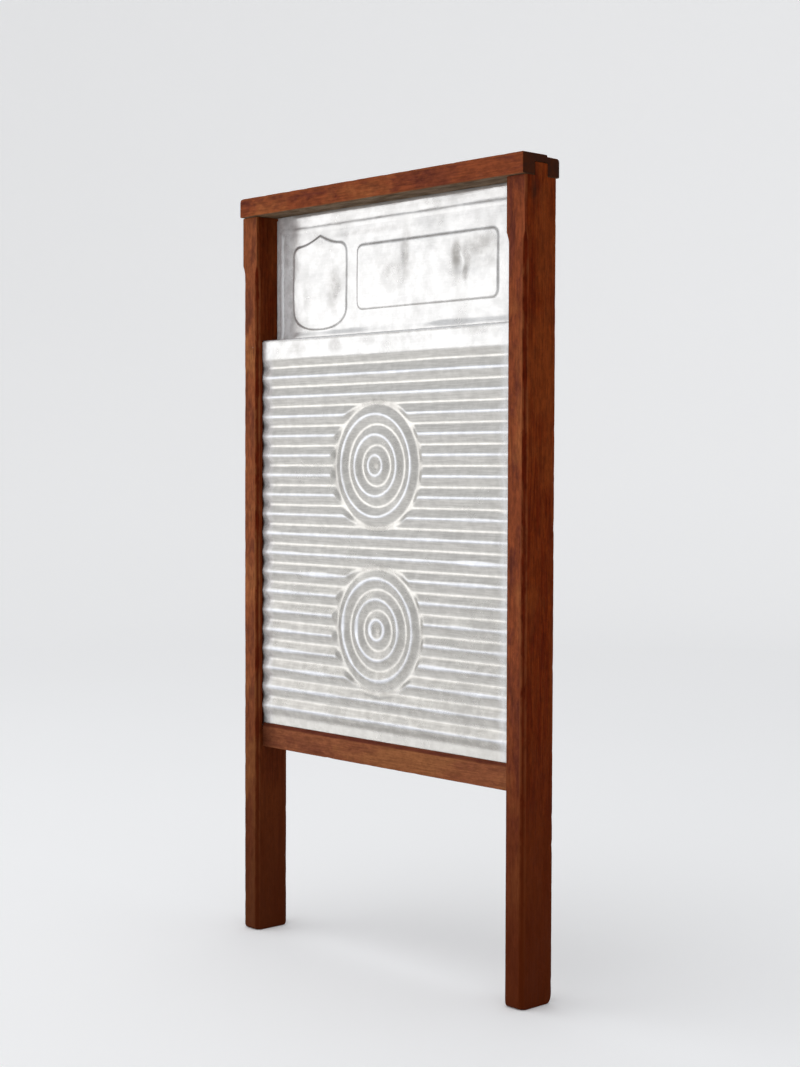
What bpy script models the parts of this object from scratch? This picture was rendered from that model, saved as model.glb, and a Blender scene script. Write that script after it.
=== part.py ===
"""Washboard: a wooden frame that carries a corrugated rubbing sheet and an embossed soap panel.

The board stands upright on its two legs. Metres, +Z up, the front faces -Y, +X is to the right of
someone who faces the front, and the origin is on the ground under the middle of the board's box.
Every piece is its own closed body. Pieces that touch keep GAP between their faces.
"""

import math

import bmesh
import bpy
from mathutils import Matrix, Vector

GAP = 0.0003

# Frame
HEIGHT = 0.610
WIDTH = 0.323
STILE_WIDTH = 0.019
STILE_DEPTH = 0.0318
RAIL_HEIGHT = 0.0155
RAIL_DEPTH = 0.0385
RAIL_EASE = 0.0006
FRONT_OVERHANG = 0.0033
CHAMFER = 0.0028
CHAMFER_STOP = 0.048
CHAMFER_RUNOUT = 0.014
FOOT_RADIUS = 0.0035
LEFT_HEEL = (0.0025, 0.0035)
RIGHT_HEEL = (0.0045, 0.0080)

# Bridle joints between the stiles and the top rail
TENON_THICKNESS = 0.0127
TENON_HEIGHT = 0.0097

# Rubbing sheet, with depths measured back from the front of the stiles
SHEET_THICKNESS = 0.0005
CREST_DEPTH = 0.0060
TROUGH_DEPTH = 0.0082
PITCH = 0.016
RIDGES = 18
TOP_CREST_Z = 0.4613
BAND_TOP_Z = 0.4926
BAND_BOTTOM_Z = 0.4756
SHEET_BOTTOM_Z = 0.1684
SHEET_BITE = 0.0030
LIP_RADIUS = 0.0015
MEDALLIONS = ((-0.0036, 4.5), (-0.0015, 12.5))
MEDALLION_RADIUS = 3.0 * PITCH
COLUMN_STEP = PITCH / 4.0
COLUMNS = 14

# Soap panel
PANEL_DEPTH = 0.0216
PANEL_THICKNESS = 0.0005
PANEL_BITE = 0.0057
PANEL_BOTTOM_Z = 0.4851
PANEL_TONGUE = 0.0035
EMBOSS = 0.0007
EMBOSS_WALL = 0.0006
BEAD_X = 0.1365
BEAD_Z = 0.582
BEAD_WIDTH = 0.004
BEAD_CORNER = 0.002
SHIELD_X = -0.0882
SHIELD_HALF = 0.0333
SHIELD_SHOULDER_Z = 0.5683
SHIELD_TIP_RISE = 0.0073
SHIELD_TIP_POWER = 1.6
SHIELD_CORNER = 0.0085
SHIELD_SIDE_BOTTOM_Z = 0.5180
SHIELD_BELLY = 0.0182
SHIELD_BELLY_POWER = 2.35
PLATE_X = (-0.0420, 0.1134)
PLATE_Z = (0.5130, 0.5638)
PLATE_RADIUS = 0.006

# Bottom rail and the ledge rail behind the flat band
BOTTOM_RAIL_Z = (0.1548, 0.1747)
BOTTOM_RAIL_DEPTH = 0.0190
BOTTOM_RAIL_BEVEL = (0.0014, 0.0030)
LEDGE_DEPTH = 0.0215
STUB = 0.0120
GROOVE_SLACK = 0.0004

# Nails
NAIL_SEGMENTS = 12
WIRE_NAIL = {"shank": 0.0010, "head": 0.0021, "head_height": 0.0008}
BRAD = {"shank": 0.0006, "head": 0.0010, "head_height": 0.0006}
TOP_NAIL_LENGTH = 0.028
BOTTOM_NAIL_LENGTH = 0.025
BRAD_LENGTH = 0.020
BOTTOM_NAIL_INSET = 0.007
BRAD_INSET = 0.0056
BRAD_Z = {"left": 0.4868, "right": 0.4818}

# Places worked out from the sizes above
FRONT_Y = -RAIL_DEPTH / 2 + FRONT_OVERHANG
BACK_Y = FRONT_Y + STILE_DEPTH
OUTER_X = WIDTH / 2
INNER_X = OUTER_X - STILE_WIDTH
RAIL_Z = HEIGHT - RAIL_HEIGHT
SHOULDER_Z = RAIL_Z - GAP
TENON_Y = FRONT_Y + (STILE_DEPTH - TENON_THICKNESS) / 2
BAND_Y = FRONT_Y + CREST_DEPTH
TROUGH_Y = FRONT_Y + TROUGH_DEPTH
PANEL_Y = FRONT_Y + PANEL_DEPTH
SHEET_HALF = INNER_X + SHEET_BITE
PANEL_HALF = INNER_X + PANEL_BITE
PANEL_FLANGE_TOP_Z = RAIL_Z - 0.0025
LEDGE_Y = BAND_Y + SHEET_THICKNESS + GAP
LEDGE_Z = (BAND_BOTTOM_Z + 4 * GAP, BAND_TOP_Z - SHEET_THICKNESS - GAP)
BEAD_FOOT_Z = BAND_TOP_Z + 0.001
LIP_END_Y = PANEL_Y - EMBOSS - GAP
RAIL_STUB = ((FRONT_Y + 0.0095, 0.1585), (FRONT_Y + 0.0220, 0.1662))
LEDGE_STUB = ((FRONT_Y + 0.0090, 0.4790), (FRONT_Y + 0.0200, 0.4895))
REACH = 0.010


def clear_scene():
    """Remove every object, so that the model starts in an empty scene."""
    for old in list(bpy.data.objects):
        bpy.data.objects.remove(old, do_unlink=True)


def material(name, colour, roughness, metallic):
    """Principled material for one piece."""
    made = bpy.data.materials.new(name)
    made.use_nodes = True
    shader = made.node_tree.nodes["Principled BSDF"]
    shader.inputs["Base Color"].default_value = (*colour, 1.0)
    shader.inputs["Roughness"].default_value = roughness
    shader.inputs["Metallic"].default_value = metallic
    made.diffuse_color = (*colour, 1.0)
    return made


def wood(name, tone=1.0):
    """Reddish brown stained wood, lighter or darker by tone."""
    return material(name, (0.26 * tone, 0.075 * tone, 0.030 * tone), 0.55, 0.0)


def zinc(name):
    """Bright worn sheet zinc."""
    return material(name, (0.78, 0.78, 0.77), 0.28, 1.0)


def steel(name):
    """Dull nail steel."""
    return material(name, (0.34, 0.31, 0.28), 0.5, 1.0)


def place(name, bm, look=None):
    """Turn a bmesh into an object in the scene, with its faces pointing out."""
    bmesh.ops.recalc_face_normals(bm, faces=bm.faces)
    mesh = bpy.data.meshes.new(name)
    bm.to_mesh(mesh)
    bm.free()
    made = bpy.data.objects.new(name, mesh)
    bpy.context.scene.collection.objects.link(made)
    if look is not None:
        mesh.materials.append(look)
    return made


def block(low, high):
    """Box between two opposite corners."""
    bm = bmesh.new()
    size = Vector(high) - Vector(low)
    middle = (Vector(high) + Vector(low)) / 2
    bmesh.ops.create_cube(bm, size=1.0, matrix=Matrix.Translation(middle) @ Matrix.Diagonal((*size, 1.0)))
    return bm


def prism(outline, start, end, axis):
    """Flat outline extruded along the X or Y axis, from start to end.

    The outline's points are (y, z) for axis "X" and (x, z) for axis "Y".
    """
    bm = bmesh.new()
    if axis == "X":
        corners = [bm.verts.new((start, a, b)) for a, b in outline]
        travel = Vector((end - start, 0.0, 0.0))
    else:
        corners = [bm.verts.new((a, start, b)) for a, b in outline]
        travel = Vector((0.0, end - start, 0.0))
    face = bm.faces.new(corners)
    pushed = bmesh.ops.extrude_face_region(bm, geom=[face])["geom"]
    moved = [part for part in pushed if isinstance(part, bmesh.types.BMVert)]
    bmesh.ops.translate(bm, verts=moved, vec=travel)
    return bm


def turned(profile):
    """Solid of revolution about local Z from (radius, height) points, first and last on the axis."""
    bm = bmesh.new()
    verts = [bm.verts.new((radius, 0.0, height)) for radius, height in profile]
    edges = [bm.edges.new(pair) for pair in zip(verts, verts[1:])]
    bmesh.ops.spin(
        bm,
        geom=verts + edges,
        cent=(0.0, 0.0, 0.0),
        axis=(0.0, 0.0, 1.0),
        angle=math.tau,
        steps=NAIL_SEGMENTS,
    )
    bmesh.ops.remove_doubles(bm, verts=bm.verts, dist=1e-6)
    return bm


def arc(centre, radii, start, end, steps=4):
    """Points along part of an ellipse, between two angles in degrees."""
    angles = [math.radians(start + (end - start) * step / steps) for step in range(steps + 1)]
    return [
        (centre[0] + radii[0] * math.cos(angle), centre[1] + radii[1] * math.sin(angle))
        for angle in angles
    ]


def combine(target, tool, operation="DIFFERENCE"):
    """Add an exact Boolean to target; the tool is a guide and is left out of the model."""
    tool.hide_render = True
    tool.display_type = "WIRE"
    step = target.modifiers.new(f"{operation.lower()} {tool.name}", "BOOLEAN")
    step.operation = operation
    step.solver = "EXACT"
    step.object = tool


def smoothstep(value):
    """Ease from 0 to 1."""
    value = min(max(value, 0.0), 1.0)
    return value * value * (3.0 - 2.0 * value)


# Wooden frame


def stile_outline(heel):
    """Side view of a stile as (y, z): worn foot at the bottom, bridle tenon at the top."""
    tenon_top = RAIL_Z + TENON_HEIGHT - GAP
    foot = arc((FRONT_Y + FOOT_RADIUS, FOOT_RADIUS), (FOOT_RADIUS, FOOT_RADIUS), 180, 270)
    worn_heel = arc((BACK_Y - heel[0], heel[1]), heel, 270, 360)
    tenon = [
        (BACK_Y, SHOULDER_Z),
        (TENON_Y + TENON_THICKNESS, SHOULDER_Z),
        (TENON_Y + TENON_THICKNESS, tenon_top),
        (TENON_Y, tenon_top),
        (TENON_Y, SHOULDER_Z),
        (FRONT_Y, SHOULDER_Z),
    ]
    return foot + worn_heel + tenon


def chamfer_cutter(name, corner_x, side):
    """Long triangular cutter for a front edge, which slides off the edge before it reaches the rail.

    side is the X direction that the edge's side face looks in.
    """
    bm = bmesh.new()
    stop_z = RAIL_Z - CHAMFER_STOP
    levels = [-REACH] + [stop_z + CHAMFER_RUNOUT * step / 6 for step in range(7)]
    rings = []
    for z in levels:
        size = CHAMFER * (1.0 - 1.25 * smoothstep((z - stop_z) / CHAMFER_RUNOUT))
        ring = [
            (corner_x - side * (size + REACH), FRONT_Y - REACH, z),
            (corner_x + side * REACH, FRONT_Y + size + REACH, z),
            (corner_x + side * REACH, FRONT_Y - REACH, z),
        ]
        rings.append([bm.verts.new(point) for point in ring])
    for low, high in zip(rings, rings[1:]):
        for index in range(3):
            after = (index + 1) % 3
            bm.faces.new((low[index], low[after], high[after], high[index]))
    bm.faces.new(rings[0])
    bm.faces.new(rings[-1])
    return place(name, bm)


def stile(name, side, heel):
    """Upright that is also a leg: grooved for both sheets and mortised for both lower rails."""
    inner_x = side * INNER_X
    outer_x = side * OUTER_X
    made = place(name, prism(stile_outline(heel), inner_x, outer_x, "X"), wood(f"{name}_wood"))

    def pocket(label, depth, y_range, z_range):
        """Blind cut into the inner face."""
        ends = sorted((inner_x - side * REACH, inner_x + side * depth))
        low = (ends[0], y_range[0], z_range[0])
        high = (ends[1], y_range[1], z_range[1])
        combine(made, place(f"{name}_{label}", block(low, high)))

    sheet_groove_y = (BAND_Y - GAP, TROUGH_Y + SHEET_THICKNESS + GROOVE_SLACK)
    sheet_groove_z = (SHEET_BOTTOM_Z - GAP, BAND_TOP_Z + GAP)
    pocket("sheet_groove", SHEET_BITE + GAP, sheet_groove_y, sheet_groove_z)
    panel_groove_y = (PANEL_Y - GAP, PANEL_Y + PANEL_THICKNESS + GROOVE_SLACK)
    panel_groove_z = (PANEL_BOTTOM_Z - GAP, PANEL_FLANGE_TOP_Z + GAP)
    pocket("panel_groove", PANEL_BITE + GAP, panel_groove_y, panel_groove_z)
    for label, (low, high) in (("rail", RAIL_STUB), ("ledge", LEDGE_STUB)):
        mortise_y = (low[0] - GAP, high[0] + GAP)
        mortise_z = (low[1] - GAP, high[1] + GAP)
        pocket(f"{label}_mortise", STUB + GAP, mortise_y, mortise_z)
    combine(made, chamfer_cutter(f"{name}_outer_chamfer", outer_x, side))
    combine(made, chamfer_cutter(f"{name}_inner_chamfer", inner_x, -side))
    return made


def top_rail():
    """Capping rail: open mortises for the stiles at its ends, and a kerf for the panel's top edge."""
    low = (-OUTER_X, -RAIL_DEPTH / 2, RAIL_Z)
    high = (OUTER_X, RAIL_DEPTH / 2, HEIGHT)
    made = place("top_rail", block(low, high), wood("top_rail_wood"))
    ease = made.modifiers.new("eased edges", "BEVEL")
    ease.width = RAIL_EASE
    ease.segments = 2
    slot_y = (TENON_Y - GAP, TENON_Y + TENON_THICKNESS + GAP)
    for side in (-1, 1):
        ends = sorted((side * (INNER_X - GAP), side * (OUTER_X + REACH)))
        slot = block((ends[0], slot_y[0], RAIL_Z - REACH), (ends[1], slot_y[1], RAIL_Z + TENON_HEIGHT))
        combine(made, place(f"top_rail_mortise_{side}", slot))
    kerf_low = (-INNER_X + 2 * GAP, PANEL_Y - GAP, RAIL_Z - REACH)
    kerf_high = (INNER_X - 2 * GAP, PANEL_Y + PANEL_THICKNESS + GROOVE_SLACK, RAIL_Z + PANEL_TONGUE + GAP)
    combine(made, place("top_rail_kerf", block(kerf_low, kerf_high)))
    return made


def cross_rail(name, outline, stub, tone):
    """Rail between the stiles, from its side view as (y, z), with a blind tenon at each end."""
    half = INNER_X - GAP
    made = place(name, prism(outline, -half, half, "X"), wood(f"{name}_wood", tone))
    reach = INNER_X + STUB
    low, high = stub
    combine(made, place(f"{name}_stubs", block((-reach, *low), (reach, *high))), "UNION")
    return made


def grooved_outline(y_range, z_range, front_bevel, groove_y, groove_depth):
    """Side view of a rail as (y, z): groove in the top for a sheet's edge, front top edge bevelled.

    front_bevel is how far the bevel reaches back and down.
    """
    front, back = y_range
    bottom, top = z_range
    return [
        (front, bottom),
        (back, bottom),
        (back, top),
        (groove_y[1], top),
        (groove_y[1], top - groove_depth),
        (groove_y[0], top - groove_depth),
        (groove_y[0], top),
        (front + front_bevel[0], top),
        (front, top - front_bevel[1]),
    ]


# Sheet metal


def wave(cycles):
    """Folded profile from 0 in a trough to 1 on a crest, with a crest at each whole number."""
    triangle = 2.0 * abs(cycles - math.floor(cycles) - 0.5)
    return round(min(max(2.0 * triangle - 0.5, 0.0), 1.0), 4)


def relief(x, z):
    """Height of the rubbing sheet's front face, from 0 in a trough to 1 on a crest."""
    if z >= BAND_BOTTOM_Z - GAP:
        return 1.0
    below = (TOP_CREST_Z - z) / PITCH
    ridge = wave(below) if below < RIDGES - 0.5 else 0.0
    for middle_x, ridges_down in MEDALLIONS:
        radius = math.hypot(x - middle_x, z - (TOP_CREST_Z - ridges_down * PITCH))
        if radius <= MEDALLION_RADIUS:
            return wave(radius / PITCH - 0.5)
        if radius < MEDALLION_RADIUS + PITCH / 2:
            return min(ridge, wave(radius / PITCH - 0.5))
    return ridge


def sheet_rows():
    """(y or None, z, half width) for each row of the sheet, top to bottom; None means the relief."""
    rows = [(LIP_END_Y, BAND_TOP_Z, INNER_X - GAP)]
    bend = arc((BAND_Y + LIP_RADIUS, BAND_TOP_Z - LIP_RADIUS), (LIP_RADIUS, LIP_RADIUS), 90, 180, 3)
    rows += [(y, z, INNER_X - GAP) for y, z in bend[:-1]]
    rows += [(None, bend[-1][1] - GAP, SHEET_HALF), (None, BAND_BOTTOM_Z, SHEET_HALF)]
    first = TOP_CREST_Z + PITCH / 2
    steps = [first + PITCH / 8 - PITCH / 4 * step for step in range(4 * RIDGES + 2)]
    rows += [(None, z, SHEET_HALF) for z in steps]
    rows.append((None, SHEET_BOTTOM_Z, SHEET_HALF))
    return rows


def rubbing_sheet():
    """Corrugated sheet with two ringed medallions; its top edge is bent back over the ledge rail."""
    bm = bmesh.new()
    columns = [step * COLUMN_STEP for step in range(-COLUMNS, COLUMNS + 1)]
    grid = []
    for y, z, half in sheet_rows():
        row = []
        for x in [-half, *columns, half]:
            depth = y if y is not None else TROUGH_Y - (TROUGH_DEPTH - CREST_DEPTH) * relief(x, z)
            row.append(bm.verts.new((x, depth, z)))
        grid.append(row)
    for upper, lower in zip(grid, grid[1:]):
        for index in range(len(upper) - 1):
            bm.faces.new((upper[index], lower[index], lower[index + 1], upper[index + 1]))
    warped = [face for face in bm.faces if abs(face.calc_center_median().x) < COLUMNS * COLUMN_STEP]
    bmesh.ops.triangulate(bm, faces=warped, quad_method="SHORT_EDGE")
    made = place("rubbing_sheet", bm, zinc("rubbing_sheet_zinc"))
    gauge = made.modifiers.new("gauge", "SOLIDIFY")
    gauge.thickness = SHEET_THICKNESS
    gauge.offset = -1.0
    gauge.use_even_offset = True
    return made


def shield_outline(middle_x, inset):
    """Shield as (x, z): ogee top with a point, straight sides and a full round bottom."""
    half = SHIELD_HALF - inset
    shoulder_z = SHIELD_SHOULDER_Z - inset
    belly = SHIELD_BELLY - inset
    ogee_half = half - SHIELD_CORNER
    right = []
    for step in range(5):
        along = step / 5
        rise = SHIELD_TIP_RISE * (1.0 - along) ** SHIELD_TIP_POWER
        right.append((along * ogee_half, shoulder_z + rise))
    right += arc((ogee_half, shoulder_z - SHIELD_CORNER), (SHIELD_CORNER, SHIELD_CORNER), 90, 0, 4)
    blunt = 2.0 / SHIELD_BELLY_POWER
    for step in range(7):
        angle = math.radians(90 * step / 6)
        drop = belly * math.sin(angle) ** blunt
        right.append((half * math.cos(angle) ** blunt, SHIELD_SIDE_BOTTOM_Z - drop))
    left = [(-x, z) for x, z in reversed(right[1:-1])]
    return [(middle_x + x, z) for x, z in right + left]


def rounded_rectangle(x_range, z_range, radius, inset):
    """Rectangle with round corners as (x, z)."""
    left, right = x_range[0] + inset, x_range[1] - inset
    low, high = z_range[0] + inset, z_range[1] - inset
    reach = radius - inset
    corners = [
        ((right - reach, high - reach), 90),
        ((right - reach, low + reach), 0),
        ((left + reach, low + reach), -90),
        ((left + reach, high - reach), -180),
    ]
    points = []
    for centre, start in corners:
        points += arc(centre, (reach, reach), start, start - 90)
    return points


def bead_outline(inset):
    """Raised line along the sides and the top of the panel, as (x, z)."""
    outer = BEAD_X + BEAD_WIDTH / 2 - inset
    inner = BEAD_X - BEAD_WIDTH / 2 + inset
    top = BEAD_Z + BEAD_WIDTH / 2 - inset
    under = BEAD_Z - BEAD_WIDTH / 2 + inset
    foot = BEAD_FOOT_Z + inset
    half = [(outer, foot), (outer, top - BEAD_CORNER), (outer - BEAD_CORNER, top)]
    inside = [(inner, under), (inner, foot)]
    right = half + [(-x, z) for x, z in reversed(half)]
    return right + [(-x, z) for x, z in reversed(inside)] + inside


def soap_panel():
    """Thin upper panel, pressed from behind with a bead frame, a shield and a long blank plate."""
    tongue_z = RAIL_Z + PANEL_TONGUE
    half = [(PANEL_HALF, PANEL_BOTTOM_Z), (PANEL_HALF, PANEL_FLANGE_TOP_Z)]
    half += [(INNER_X - 3 * GAP, PANEL_FLANGE_TOP_Z), (INNER_X - 3 * GAP, tongue_z)]
    outline = half + [(-x, z) for x, z in reversed(half)]
    back = PANEL_Y + PANEL_THICKNESS
    made = place("soap_panel", prism(outline, PANEL_Y, back, "Y"), zinc("soap_panel_zinc"))
    pressings = {
        "shield": lambda inset: shield_outline(SHIELD_X, inset),
        "plate": lambda inset: rounded_rectangle(PLATE_X, PLATE_Z, PLATE_RADIUS, inset),
        "bead": bead_outline,
    }
    for label, outline_at in pressings.items():
        raised = prism(outline_at(0.0), PANEL_Y - EMBOSS, PANEL_Y + PANEL_THICKNESS / 2, "Y")
        combine(made, place(f"{label}_raised", raised), "UNION")
        hollow = prism(outline_at(EMBOSS_WALL), PANEL_Y + PANEL_THICKNESS - EMBOSS, back + REACH, "Y")
        combine(made, place(f"{label}_hollow", hollow))
    return made


# Nails


def nail(name, kind, head_at, points_back, length, through):
    """Nail driven along Y with its head flush, and a clearance hole for it in each piece it holds."""
    shank, head, thick = kind["shank"], kind["head"], kind["head_height"]
    body = [
        (0.0, 0.0),
        (head, 0.0),
        (head, -thick),
        (shank, -thick),
        (shank, -length + 3 * shank),
        (0.0, -length),
    ]
    hole = [
        (0.0, REACH),
        (head + GAP, REACH),
        (head + GAP, -thick - GAP),
        (shank + GAP, -thick - GAP),
        (shank + GAP, -length - GAP),
        (0.0, -length - GAP),
    ]
    made = place(name, turned(body), steel(f"{name}_steel"))
    made.data.shade_smooth()
    made.data.set_sharp_from_angle(angle=math.radians(40))
    drill = place(f"{name}_hole", turned(hole))
    for item in (made, drill):
        item.location = head_at
        item.rotation_euler = (math.radians(90 if points_back else -90), 0.0, 0.0)
    for piece in through:
        combine(piece, drill)


def build():
    """Make every piece of the washboard."""
    clear_scene()
    left = stile("left_stile", -1, LEFT_HEEL)
    right = stile("right_stile", 1, RIGHT_HEEL)
    rail = top_rail()
    sheet_groove = (TROUGH_Y - GAP, TROUGH_Y + SHEET_THICKNESS + GROOVE_SLACK)
    rail_depth = BOTTOM_RAIL_Z[1] - SHEET_BOTTOM_Z + GAP
    lower_outline = grooved_outline(
        (BAND_Y, BAND_Y + BOTTOM_RAIL_DEPTH), BOTTOM_RAIL_Z, BOTTOM_RAIL_BEVEL, sheet_groove, rail_depth
    )
    lower = cross_rail("bottom_rail", lower_outline, RAIL_STUB, 1.25)
    panel_groove = (PANEL_Y - GAP, PANEL_Y + PANEL_THICKNESS + GROOVE_SLACK)
    ledge_groove_depth = LEDGE_Z[1] - PANEL_BOTTOM_Z + GAP
    ledge_outline = grooved_outline(
        (LEDGE_Y, LEDGE_Y + LEDGE_DEPTH), LEDGE_Z, (LIP_RADIUS, LIP_RADIUS), panel_groove, ledge_groove_depth
    )
    ledge = cross_rail("ledge_rail", ledge_outline, LEDGE_STUB, 1.6)
    rubbing_sheet()
    soap_panel()
    for side, label, upright in ((-1, "left", left), (1, "right", right)):
        joint_x = side * (OUTER_X - STILE_WIDTH / 2)
        top_at = (joint_x, RAIL_DEPTH / 2, RAIL_Z + TENON_HEIGHT / 2)
        nail(f"top_nail_{label}", WIRE_NAIL, top_at, False, TOP_NAIL_LENGTH, (rail, upright))
        low_at = (side * (INNER_X + BOTTOM_NAIL_INSET), BACK_Y, (RAIL_STUB[0][1] + RAIL_STUB[1][1]) / 2)
        nail(f"bottom_nail_{label}", WIRE_NAIL, low_at, False, BOTTOM_NAIL_LENGTH, (upright, lower))
        from_front = side < 0
        brad_y = FRONT_Y if from_front else BACK_Y
        brad_at = (side * (INNER_X + BRAD_INSET), brad_y, BRAD_Z[label])
        nail(f"ledge_brad_{label}", BRAD, brad_at, from_front, BRAD_LENGTH, (upright, ledge))


build()
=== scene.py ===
"""Washboard: the visual model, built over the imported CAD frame.

Metres, +Z up. The board's front faces -Y, and +X is to the right of someone who faces the front.
Depths are measured back from the front face of the stiles.
"""

import math

import bmesh
import bpy
import numpy as np
from mathutils import Matrix, Vector, noise


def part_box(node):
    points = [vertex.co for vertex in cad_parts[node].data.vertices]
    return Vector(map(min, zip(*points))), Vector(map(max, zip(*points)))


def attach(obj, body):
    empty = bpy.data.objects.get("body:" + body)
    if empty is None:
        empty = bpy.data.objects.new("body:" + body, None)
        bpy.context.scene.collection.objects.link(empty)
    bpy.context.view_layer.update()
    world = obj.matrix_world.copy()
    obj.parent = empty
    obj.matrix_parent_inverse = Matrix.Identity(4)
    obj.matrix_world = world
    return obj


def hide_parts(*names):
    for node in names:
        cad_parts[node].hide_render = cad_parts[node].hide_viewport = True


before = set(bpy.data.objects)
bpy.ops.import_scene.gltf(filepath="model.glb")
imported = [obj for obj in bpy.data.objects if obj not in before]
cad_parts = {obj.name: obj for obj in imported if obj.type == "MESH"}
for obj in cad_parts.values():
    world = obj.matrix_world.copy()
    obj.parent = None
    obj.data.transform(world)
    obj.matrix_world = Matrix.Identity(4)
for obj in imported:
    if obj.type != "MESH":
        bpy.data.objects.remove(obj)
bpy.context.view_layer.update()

# Places taken from the frame
STILE_LOW, STILE_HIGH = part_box("right_stile")
RAIL_LOW, RAIL_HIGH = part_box("top_rail")
SHEET_LOW, SHEET_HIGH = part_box("rubbing_sheet")
PANEL_LOW, PANEL_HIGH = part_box("soap_panel")
LOWER_LOW, LOWER_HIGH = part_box("bottom_rail")
LEDGE_LOW, LEDGE_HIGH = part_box("ledge_rail")
INNER_X = STILE_LOW.x
OUTER_X = STILE_HIGH.x
FRONT_Y = STILE_LOW.y
STILE_WIDTH = OUTER_X - INNER_X
STILE_DEPTH = STILE_HIGH.y - FRONT_Y
RAIL_Z = RAIL_LOW.z
HEIGHT = RAIL_HIGH.z
GAP = 0.0003

# Wooden frame
TENON_TOP_Z = STILE_HIGH.z
TENON_FRONT_Y = FRONT_Y + 0.00955
TENON_BACK_Y = FRONT_Y + 0.02225
TENON_RISE = 0.0097
CHAMFER = 0.0028
CHAMFER_STOP_Z = RAIL_Z - 0.048
CHAMFER_RUNOUT = 0.014
SOFT_EDGE = 0.0006
FOOT = 0.0035
HEELS = {"left": (0.0025, 0.0035), "right": (0.0045, 0.0080)}
SHEET_GROOVE = (0.0057, 0.0091)
SHEET_GROOVE_DEPTH = 0.0033
SHEET_SPAN = (SHEET_LOW.z - GAP, SHEET_HIGH.z + GAP)
PANEL_GROOVE = (0.0213, 0.0225)
PANEL_GROOVE_DEPTH = 0.0060
FLANGE_TOP_Z = RAIL_Z - 0.0025
PANEL_SPAN = (PANEL_LOW.z - GAP, FLANGE_TOP_Z + GAP)
KERF = (FRONT_Y + PANEL_GROOVE[0], FRONT_Y + PANEL_GROOVE[1])
KERF_RISE = 0.0038
LOWER_GROOVE = (FRONT_Y + 0.0079, FRONT_Y + SHEET_GROOVE[1], SHEET_LOW.z - GAP)
LOWER_BEVEL = (0.0014, 0.0030)
LEDGE_GROOVE = (*KERF, PANEL_LOW.z - GAP)
LEDGE_BEVEL = (0.0015, 0.0015)
ALONG_X, ALONG_Z = 0, 2

# Rubbing sheet
GAUGE = 0.0005
PITCH = 0.016
RIDGES = 18
FLANK = math.radians(18.0)
FOLD_RADIUS = 0.0038
CREST_DEPTH = 0.0060
RELIEF = 0.0022
TOP_CREST_Z = 0.4613
BAND_TOP_Z = SHEET_HIGH.z
BAND_BOTTOM_Z = 0.4756
MEDALLIONS = ((-0.0036, 4.5), (-0.0015, 12.5))
MEDALLION_RADIUS = 3.0 * PITCH
MEDALLION_RIM = 0.0004
RIDGE_END = 0.0056

# Soap panel
PANEL_FACE_DEPTH = 0.0216
EMBOSS = 0.0007
LINE_WIDTH = 0.0019
BEAD_X = 0.1365
BEAD_Z = 0.582
BEAD_WIDTH = 0.004
BEAD_FOOT_Z = 0.40
BEAD_CORNER = 0.0025
SHIELD_X = -0.0882
SHIELD_HALF = 0.0333
SHIELD_SHOULDER_Z = 0.5683
SHIELD_TIP_RISE = 0.0073
SHIELD_TIP_POWER = 1.6
SHIELD_CORNER = 0.0085
SHIELD_SIDE_Z = 0.5180
SHIELD_BELLY = 0.0182
SHIELD_BELLY_POWER = 2.35
PLATE_LOW = (-0.0420, 0.5130)
PLATE_HIGH = (0.1134, 0.5638)
PLATE_CORNER = 0.006

# Nail heads: radius and thickness
WIRE_HEAD = (0.0021, 0.0009)
BRAD_HEAD = (0.0010, 0.0006)

# What a timber's face can show instead of its worn front: a side stained darker, partly as painted shade,
# a dark chamfer or bare wood
LOOKS = ("side", "deep", "raw")

# Studio
FLOOR_RADIUS = 2.6
COVE_RADIUS = 1.6
WALL_TOP_Z = 6.0
FLOOR_GLOW = 0.045
WALL_GLOW = 0.175
GLOW_START = 0.4
GLOW_END = FLOOR_RADIUS + 1.3
WINDOW_SIDE = (-0.74, -0.67, 0.10)

# Camera: its place, its yaw, pitch and roll in degrees, and its lens in millimetres
CAMERA_AT = (1.0394, FRONT_Y - 0.9304, 0.3879)
CAMERA_TURN = (47.264, -2.093, 0.173)
CAMERA_LENS = 60.985


# Shape helpers


def smoothstep(value):
    """Ease from 0 to 1, for numbers or arrays."""
    value = np.clip(value, 0.0, 1.0)
    return value * value * (3.0 - 2.0 * value)


def toe(distance, run, rise):
    """How far an elliptically worn end has drawn in, at a distance from the end."""
    if distance >= rise:
        return 0.0
    up = 1.0 - distance / rise
    return run * (1.0 - math.sqrt(1.0 - up * up))


def wander(points, size, seed):
    """Smooth noise from about -1 to 1 at each point; size is a bump's length along each axis."""
    shift = Vector((7.31, 3.17, 5.83)) * seed
    scaled = np.asarray(points, float) / np.asarray(size, float)
    return np.array([noise.noise(Vector(point) + shift) for point in scaled.reshape(-1, 3)])


def finish_mesh(name, verts, faces, fields, look, crease=35.0, closed=False):
    """Object from vertices and faces, with its float attributes and smooth shading.

    A closed body's faces are turned to point out; any other surface keeps the order it was given in.
    """
    mesh = bpy.data.meshes.new(name)
    mesh.from_pydata(np.asarray(verts).tolist(), [], faces)
    for label, values in fields.items():
        layer = mesh.attributes.new(label, "FLOAT", "POINT")
        layer.data.foreach_set("value", np.asarray(values, np.float32).ravel())
    bm = bmesh.new()
    bm.from_mesh(mesh)
    bmesh.ops.remove_doubles(bm, verts=bm.verts, dist=2e-6)
    if closed and bm.calc_volume(signed=True) < 0.0:
        bmesh.ops.reverse_faces(bm, faces=bm.faces)
    bm.to_mesh(mesh)
    bm.free()
    mesh.shade_smooth()
    mesh.set_sharp_from_angle(angle=math.radians(crease))
    mesh.materials.append(look)
    made = bpy.data.objects.new(name, mesh)
    bpy.context.scene.collection.objects.link(made)
    return made


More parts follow.
